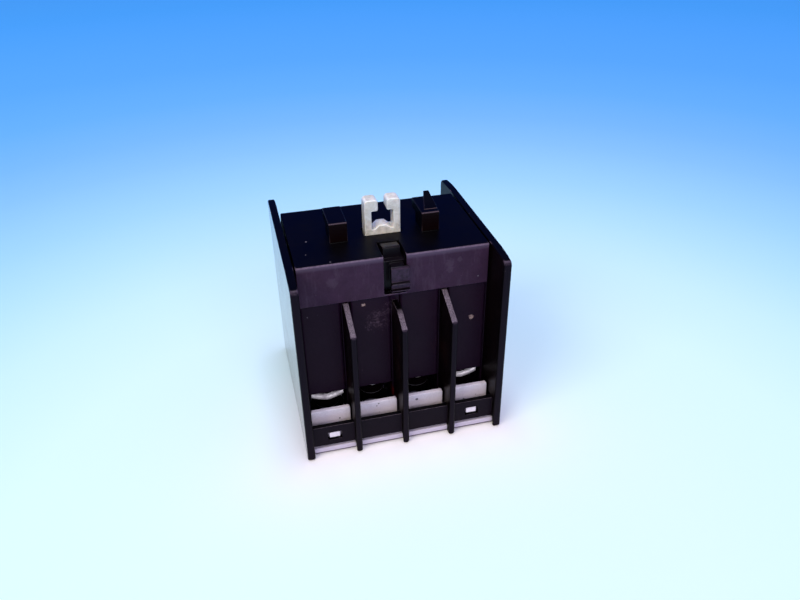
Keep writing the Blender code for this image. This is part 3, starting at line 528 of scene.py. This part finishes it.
def housing_plastic():
    """The housing: nearly black, with a paler box face, painted highlights on its rounded edges and the tops
    of its ribs, brown grime and handled end plates.
    """
    made, tree, shader, coords, wear, colour = black_plastic(
        "black_housing_plastic", (0.0007, 0.0004, 0.0009), 0.5,
    )
    on = housing_guides(tree, coords)
    colour = box_face_tone_and_painted_highlights(tree, coords, on, colour)
    colour = bay_tones_and_painted_crests(tree, coords, on, colour)
    colour = hooks_tone_and_painted_edge_highlight(tree, on, colour)
    colour = housing_marks(tree, coords, on, colour)
    flank = product(tree, on["across"], above(tree, on["aside"], PLATE_OUTSIDE, 0.1))
    haze = product(tree, stretch(tree, on["cloud"], 0.32, 0.66, 0.25, 1.0),
                   stretch(tree, on["mottle"], 0.3, 0.7, 0.6, 1.0))
    colour = tint(tree, colour, (0.0085, 0.0060, 0.0098), haze, flank, 0.7)
    colour = tint(tree, colour, (0.060, 0.050, 0.066), wear["lines"], flank, 0.5)
    wire(tree, product(tree, flank, stretch(tree, haze, 0.2, 0.9, 0.42, 0.26)), shader.inputs["Coat Weight"])
    shader.inputs["Coat Roughness"].default_value = 0.16
    shader.inputs["Specular IOR Level"].default_value = 0.07
    finish_black(tree, shader, wear, colour, 0.36, 0.002, 0.03, flank)
    return made


def latch_plastic():
    """The latch: the same moulding, a little glossier and worn pale on its pad, with pale edges that are
    partly a painted highlight on its ridges.
    """
    made, tree, shader, coords, wear, colour = black_plastic(
        "black_latch_plastic", (0.0025, 0.0014, 0.0030), 0.9,
    )
    near, _, _ = facing(tree)
    place = position(tree, coords)
    handled = stretch(tree, noise(tree, coords, 1300.0, 4.0, 0.6), 0.35, 0.65, 0.4, 1.0)
    on_pad = product(tree, below(tree, place["Z"], PAD_TOP, 0.4), below(tree, place["Y"], PAD_FACE, 0.2))
    colour = tint(tree, colour, (0.038, 0.020, 0.045), near, handled, on_pad)
    shader.inputs["Specular IOR Level"].default_value = 0.14
    # The stronger pale edges here are partly a painted highlight on the pad's ridges.
    finish_black(tree, shader, wear, colour, 0.28, 0.01, 0.22)
    return made


def grey_plastic():
    """Light grey moulding with dark specks and dirt, painted near-black shade in the block's interior, a
    darker flange and a painted contact shadow at its foot.
    """
    made, tree, shader, coords = start_material("grey_cover_plastic")
    wear = surface_wear(tree, coords, (8000.0, 0.6), (3.4, 520.0), (0.3, 0.7), (0.8, 0.2))
    mottle = stretch(tree, noise(tree, coords, 2400.0, 4.0, 0.7), 0.42, 0.72)
    patch = stretch(tree, wear["patch"], 0.3, 0.7)
    colour = blend_colour(tree, patch, (0.78, 0.70, 0.82), (0.86, 0.78, 0.90))
    colour = tint(tree, colour, (0.44, 0.37, 0.48), mottle, 0.22)
    colour = tint(tree, colour, (0.82, 0.78, 0.84), wear["edge"], 0.4)
    colour = tint(tree, colour, (0.36, 0.33, 0.38), wear["lines"], 0.2)
    colour = tint(tree, colour, (0.40, 0.34, 0.38), wear["film"], 0.18)
    colour = tint(tree, colour, (0.05, 0.03, 0.04), wear["specks"])
    colour = tint(tree, colour, (0.06, 0.05, 0.06), spots_mask(tree, coords, DARK_MARKS, 0.2), 0.8)
    place = position(tree, coords)
    _, _, normal = facing(tree)
    # Painted shade: the block's interior, above its floor, is painted near-black and made rough.
    painted_shade_inside = product(tree, below(tree, unsigned(tree, place["Y"]), COVER_INSIDE, 0.4),
                     above(tree, place["Z"], COVER_FLOOR, 0.1))
    colour = tint(tree, colour, (0.0022, 0.0008, 0.0008), painted_shade_inside)
    # Painted shade: the flange is painted a darker, bluer grey than the rest, to offset the stronger light
    # it gets from the table.
    colour = tint(tree, colour, (0.54, 0.49, 0.64), below(tree, place["Z"], FLANGE_TOP, 0.3))
    # Painted contact shadow: a dark line along the foot's bottom edge, on every face but the downward ones.
    not_face = stretch(tree, normal["Z"], -0.95, -0.8)
    colour = tint(tree, colour, (0.03, 0.02, 0.04), below(tree, place["Z"], FOOT_TOP, 0.23), not_face, 0.95)
    wire(tree, colour, shader.inputs["Base Color"])
    gloss = stretch(tree, wear["patch"], 0.25, 0.75, 0.42, 0.56)
    wire(tree, maths(tree, "MAXIMUM", gloss, painted_shade_inside), shader.inputs["Roughness"])
    shader.inputs["Specular IOR Level"].default_value = 0.06
    bump(tree, shader, maths(tree, "ADD", wear["height"], mottle), 0.012 * MM, 0.6)
    return made


def ivory_plastic():
    """Natural nylon: greyish warm white, see-through at thin places, with flow marks and painted highlights
    along its edges.
    """
    made, tree, shader, coords = start_material("ivory_coupler_plastic")
    wear = surface_wear(tree, coords, (6000.0, 0.4), (0.5, 1500.0), (0.3, 1.3))
    _, _, normal = facing(tree)
    uneven = stretch(tree, noise(tree, coords, 1100.0, 2.0), 0.35, 0.6, 0.25, 1.0)
    flow = stretch(tree, noise(tree, coords, 620.0, 3.0, 0.55, 0.8), 0.38, 0.66)
    wax = stretch(tree, noise(tree, coords, 1700.0, 3.0, 0.6), 0.55, 0.75)
    colour = blend_colour(tree, flow, (0.64, 0.62, 0.57), (0.86, 0.84, 0.80))
    colour = tint(tree, colour, (0.97, 0.92, 0.90), wax, 0.7)
    # Painted highlights: the edges, and more so the rounded edges, are painted near-white.
    colour = tint(tree, colour, (0.96, 0.95, 0.95), wear["edge"], 0.6)
    colour = tint(tree, colour, (1.0, 0.99, 0.98), rounded_edges(tree, normal), uneven)
    colour = tint(tree, colour, (0.40, 0.35, 0.28), wear["film"], 0.25)
    colour = tint(tree, colour, (0.20, 0.16, 0.14), wear["specks"], 0.6)
    wire(tree, colour, shader.inputs["Base Color"])
    wire(tree, stretch(tree, wear["patch"], 0.25, 0.75, 0.26, 0.4), shader.inputs["Roughness"])
    shader.inputs["Transmission Weight"].default_value = 0.08
    shader.inputs["Subsurface Weight"].default_value = 0.5
    shader.inputs["Subsurface Radius"].default_value = (0.0012, 0.0010, 0.0008)
    shader.inputs["Subsurface Scale"].default_value = 1.0
    bump(tree, shader, maths(tree, "ADD", wear["height"], flow), 0.03 * MM, 0.6)
    return made


def metal(name, base, tarnish, rough, streak=(1.0, 1.0, 1.0), wear=0.5, metallic=1.0,
          painted_shade_above=None, dents=8.0):
    """Stamped or turned metal: fine drawn streaks, uneven tarnish and brighter worn edges.
    Above the height given for the shade, in millimetres, the metal is painted near-black shade; dents is the
    depth of the texture in micrometres."""
    made, tree, shader, coords = start_material(name)
    along = add_node(tree, "ShaderNodeMapping")
    wire(tree, coords, along.inputs["Vector"])
    along.inputs["Scale"].default_value = streak
    drawn = noise(tree, along.outputs[0], 2600.0, 3.0, 0.6)
    cloud = noise(tree, coords, 520.0, 4.0, 0.6)
    edge = use(tree, EDGE, Coords=coords, Radius=0.18 * MM, Amount=wear)
    colour = blend_colour(tree, stretch(tree, cloud, 0.42, 0.68), base, tarnish)
    colour = tint(tree, colour, tarnish, stretch(tree, drawn, 0.4, 0.7), 0.25)
    bright = tuple(min(value * 1.25, 1.0) for value in base)
    colour = tint(tree, colour, bright, edge.outputs["Edge"], 0.6)
    roughness = maths(tree, "ADD", stretch(tree, cloud, 0.3, 0.7, rough - 0.05, rough + 0.12),
                      stretch(tree, drawn, 0.3, 0.7, -0.03, 0.05), clamp=True)
    # Painted shade: above that height the metal is painted near-black and made rougher.
    if painted_shade_above is not None:
        painted_shade = above(tree, position(tree, coords)["Z"], painted_shade_above, 0.4)
        colour = tint(tree, colour, (0.006, 0.003, 0.004), painted_shade)
        roughness = maths(tree, "ADD", roughness, product(tree, painted_shade, 0.5), clamp=True)
    wire(tree, colour, shader.inputs["Base Color"])
    wire(tree, roughness, shader.inputs["Roughness"])
    shader.inputs["Metallic"].default_value = metallic
    bump(tree, shader, drawn, dents * MM / 1000, 0.5)
    return made


# Camera, where the photograph was taken from

camera = bpy.data.objects.new("camera", bpy.data.cameras.new("camera"))
bpy.context.scene.collection.objects.link(camera)
camera.location = (-29.88 * MM, -139.83 * MM, 115.54 * MM)
camera.rotation_euler = (math.radians(57.6193), math.radians(0.7571), math.radians(-14.2553))
camera.data.sensor_width = 36.0
camera.data.lens = 32.474
camera.data.clip_start = 0.005
bpy.context.scene.camera = camera


# Floor and light

# Half the width of the foot that the glow on the table starts from, and how fast it fades per metre
HALF_FOOT = 22.0 * MM
GLOW_FALL = 105.0


def floor_material():
    """A lit table top: faintly pink at the object's foot, white round it, turning blue with distance."""
    made, tree, shader, coords = start_material("table_top")
    away = add_node(tree, "ShaderNodeVectorMath", operation="DISTANCE")
    wire(tree, coords, away.inputs[0])
    away.inputs[1].default_value = (0.0, -0.050, 0.0)
    ramp = add_node(tree, "ShaderNodeValToRGB")
    reach = 0.6
    wire(tree, maths(tree, "DIVIDE", away.outputs["Value"], reach), ramp.inputs["Fac"])
    stops = (
        (0.050, (0.70, 0.92, 0.97)), (0.090, (0.67, 0.92, 0.97)), (0.122, (0.58, 0.86, 0.97)),
        (0.152, (0.46, 0.77, 0.97)), (0.182, (0.36, 0.68, 0.97)), (0.225, (0.26, 0.57, 0.97)),
        (0.260, (0.20, 0.51, 0.97)), (0.310, (0.145, 0.465, 0.97)), (0.380, (0.112, 0.43, 0.97)),
        (0.580, (0.078, 0.41, 0.94)),
    )
    gradient = ramp.color_ramp
    gradient.interpolation = "LINEAR"
    while len(gradient.elements) < len(stops):
        gradient.elements.new(0.5)
    for element, (distance, colour) in zip(gradient.elements, stops):
        element.position = distance / reach
        element.color = (*colour, 1.0)
    place = position(tree, coords)
    squares = []
    for axis in ("X", "Y"):
        beyond = maths(tree, "SUBTRACT", unsigned(tree, place[axis]), HALF_FOOT)
        beyond = maths(tree, "MAXIMUM", beyond, 0.0)
        squares.append(product(tree, beyond, beyond))
    gap = maths(tree, "SQRT", maths(tree, "ADD", squares[0], squares[1]))
    glow = maths(tree, "POWER", 2.718, maths(tree, "MULTIPLY", gap, -GLOW_FALL))
    front = stretch(tree, place["Y"], -28.0 * MM, 12.0 * MM, 1.0, 0.1)
    colour = tint(tree, ramp.outputs["Color"], (0.97, 0.90, 0.97), glow, front)
    wire(tree, colour, shader.inputs["Base Color"])
    shader.inputs["Roughness"].default_value = 0.7
    shader.inputs["Specular IOR Level"].default_value = 0.0
    return made


def flat_sheet(name, size, height, material):
    shape = bmesh.new()
    bmesh.ops.create_grid(shape, x_segments=1, y_segments=1, size=size / 2)
    bmesh.ops.translate(shape, verts=shape.verts, vec=(0, 0, height))
    mesh = bpy.data.meshes.new(name)
    shape.to_mesh(mesh)
    shape.free()
    mesh.materials.append(material)
    made = bpy.data.objects.new(name, mesh)
    bpy.context.scene.collection.objects.link(made)
    return made


floor = flat_sheet("table_top", 6.0, 0.0, floor_material())

world = bpy.data.worlds.new("studio")
world.use_nodes = True
bpy.context.scene.world = world
sky = world.node_tree
backdrop = sky.nodes["Background"]
heading = add_node(sky, "ShaderNodeSeparateXYZ")
wire(sky, add_node(sky, "ShaderNodeTexCoord").outputs["Generated"], heading.inputs[0])
behind = stretch(sky, heading.outputs["Y"], -0.35, 0.25)
wire(sky, blend_colour(sky, behind, (0.34, 0.33, 0.38), (0.004, 0.042, 0.34)), backdrop.inputs["Color"])
backdrop.inputs["Strength"].default_value = 1.0


def soft_lamp(name, place, target, size, watts, colour):
    lamp = bpy.data.lights.new(name, "AREA")
    lamp.shape = "RECTANGLE"
    lamp.size, lamp.size_y = size
    lamp.energy = watts
    lamp.color = colour
    made = bpy.data.objects.new(name, lamp)
    bpy.context.scene.collection.objects.link(made)
    made.location = place
    made.rotation_euler = (Vector(target) - Vector(place)).to_track_quat("-Z", "Y").to_euler()
    return made


soft_lamp("overhead_lamp", (0.03, 0.10, 2.2), (0, 0, 0.02), (0.85, 0.75), 24.0, (0.98, 0.99, 1.12))
soft_lamp("left_lamp", (-0.84, -0.59, 0.95), (0, 0, 0.02), (0.7, 0.7), 9.0, (1.0, 0.90, 0.60))
soft_lamp("front_lamp", (0.05, -1.25, 0.78), (0, 0, 0.02), (0.9, 0.6), 7.0, (1.0, 0.95, 1.04))


# Pieces whose edges are rounded as moulding and stamping leave them

def soften(shape, edges, width, segments):
    bmesh.ops.bevel(
        shape, geom=edges, offset=width, offset_type="OFFSET", segments=segments,
        profile=0.5, affect="EDGES", material=-1, clamp_overlap=False,
    )


def rounded_copy(node, width, segments, angle, wide=()):
    """A merged copy of a frame piece with its sharp edges rounded, the chosen ones wider than the
    rest, and kept within the piece's own box."""
    shape = bmesh.new()
    shape.from_mesh(frame["nodes"][node].data)
    bmesh.ops.remove_doubles(shape, verts=shape.verts, dist=0.001 * MM)
    bmesh.ops.dissolve_limit(shape, angle_limit=math.radians(0.6), verts=shape.verts, edges=shape.edges)
    for chosen, wide_width, wide_segments in wide:
        picked = [
            edge for edge in shape.edges
            if edge.calc_face_angle(0.0) > math.radians(angle) and chosen(edge)
        ]
        soften(shape, picked, wide_width, wide_segments)
    sharp = [edge for edge in shape.edges if edge.calc_face_angle(0.0) > math.radians(angle)]
    soften(shape, sharp, width, segments)
    low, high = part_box(node)
    for corner in shape.verts:
        corner.co = [min(max(value, least), most) for value, least, most in zip(corner.co, low, high)]
    return shape


def stand_for(name, node, shape, finish):
    """Put a finished shape in the scene in place of a frame piece, on that piece's body."""
    mesh = bpy.data.meshes.new(name)
    shape.to_mesh(mesh)
    shape.free()
    mesh.shade_smooth()
    mesh.set_sharp_from_angle(angle=math.radians(38.0))
    mesh.materials.append(finish)
    made = bpy.data.objects.new(name, mesh)
    bpy.context.scene.collection.objects.link(made)
    flat_faces = made.modifiers.new("flat_faces", "WEIGHTED_NORMAL")
    flat_faces.weight = 100
    flat_faces.keep_sharp = True
    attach(made, body_of[node])
    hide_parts(node)
    return made


body_of = {node: body for body, nodes in frame["record"]["behaviour"]["bodies"].items() for node in nodes}
slot_of = {row["node"]: row["material_slot"] for row in frame["record"]["subparts"]}
finishes = {
    "black_polyamide": housing_plastic(),
    "light_grey_polyamide": grey_plastic(),
    "ivory_nylon": ivory_plastic(),
    "zinc_plated_steel": metal("zinc_plate", (0.74, 0.73, 0.80), (0.50, 0.48, 0.54), 0.30, (1.0, 0.12, 1.0)),
    "contact_brass": metal("stamped_brass", (0.66, 0.43, 0.18), (0.40, 0.22, 0.09), 0.30, (0.12, 1.0, 1.0)),
    "bridge_copper": metal("stamped_copper", (0.70, 0.36, 0.22), (0.38, 0.17, 0.10), 0.30, (1.0, 0.12, 1.0)),
    "spring_steel": metal("spring_wire", (0.50, 0.50, 0.52), (0.30, 0.28, 0.28), 0.28),
}
for name, thing in frame["nodes"].items():
    thing.data.materials.clear()
    thing.data.materials.append(finishes[slot_of[name]])


# How far out the edges lie that are rounded wider, and how wide each piece's edges are rounded
RIB_END_REACH = 20.9 * MM
CLAMP_LIP_REACH = 12.35 * MM
FOOT_REACH = 18.0 * MM
HOUSING_EDGE = 0.16 * MM
RIB_END_EDGE = 0.42 * MM
COVER_EDGE = 0.14 * MM
FOOT_EDGE = 0.3 * MM
COUPLER_EDGE = 0.22 * MM
LATCH_EDGE = 0.12 * MM
CLAMP_EDGE = 0.14 * MM
CLAMP_LIP_EDGE = 0.9 * MM
SCREW_EDGE = 0.08 * MM


def on_rib_end(edge):
    return all(abs(corner.co.y) > RIB_END_REACH for corner in edge.verts)


def on_clamp_lip(edge):
    outer = all(abs(corner.co.y) > CLAMP_LIP_REACH for corner in edge.verts)
    return outer and any(face.normal.z > 0.5 for face in edge.link_faces)


def on_foot(edge):
    return all(
        abs(corner.co.z) < 0.05 * MM and max(abs(corner.co.x), abs(corner.co.y)) > FOOT_REACH
        for corner in edge.verts
    )


housing_shape = rounded_copy("housing", HOUSING_EDGE, 3, 35.0, ((on_rib_end, RIB_END_EDGE, 4),))
stand_for("moulded_housing", "housing", housing_shape, finishes["black_polyamide"])
cover_shape = rounded_copy("front_cover", COVER_EDGE, 2, 35.0, ((on_foot, FOOT_EDGE, 4),))
stand_for("moulded_cover", "front_cover", cover_shape, finishes["light_grey_polyamide"])
coupler_shape = rounded_copy("contact_carrier", COUPLER_EDGE, 3, 50.0)
stand_for("moulded_coupler", "contact_carrier", coupler_shape, finishes["ivory_nylon"])
stand_for("moulded_latch", "latch", rounded_copy("latch", LATCH_EDGE, 3, 35.0), latch_plastic())


def wound_spring(node):
    """A spring's wire, smooth all round, put in place of its frame piece on that piece's body."""
    shape = bmesh.new()
    shape.from_mesh(frame["nodes"][node].data)
    bmesh.ops.remove_doubles(shape, verts=shape.verts, dist=0.001 * MM)
    made = stand_for(f"wound_{node}", node, shape, finishes["spring_steel"])
    made.modifiers.clear()
    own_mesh(made)


# The two return springs and the latch spring
for side in ("left", "right"):
    wound_spring(f"return_spring_{side}")
wound_spring("latch_spring")

# Clamps and screws; the screws are painted near-black shade from a little above the undersides of their
# heads, this far in millimetres
PAINTED_SHADE_LINE = 0.6
# The clamps' zinc is a paler, less metallic copy of the zinc plate, brightened as a painted highlight on
# their lips.
clamp_zinc_with_painted_light = metal(
    "clamp_zinc_with_painted_light", (1.0, 0.98, 1.0), (0.66, 0.62, 0.68), 0.46,
    streak=(1.0, 0.6, 1.0), wear=0.8, metallic=0.45, dents=90.0,
)
screw_zinc = {}
for name in sorted(frame["nodes"]):
    if name.startswith("wire_clamp"):
        shape = rounded_copy(name, CLAMP_EDGE, 2, 50.0, ((on_clamp_lip, CLAMP_LIP_EDGE, 3),))
        stand_for(f"pressed_{name}", name, shape, clamp_zinc_with_painted_light)
    elif name.startswith("terminal_screw"):
        head_bottom = round(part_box(name)[0][2] / MM, 2)
        if head_bottom not in screw_zinc:
            screw_zinc[head_bottom] = metal(
                "screw_zinc", (0.74, 0.73, 0.80), (0.50, 0.48, 0.54), 0.30,
                streak=(1.0, 0.12, 1.0), painted_shade_above=head_bottom + PAINTED_SHADE_LINE,
            )
        shape = rounded_copy(name, SCREW_EDGE, 2, 40.0)
        stand_for(f"turned_{name}", name, shape, screw_zinc[head_bottom])

bpy.context.scene.view_settings.view_transform = "Standard"
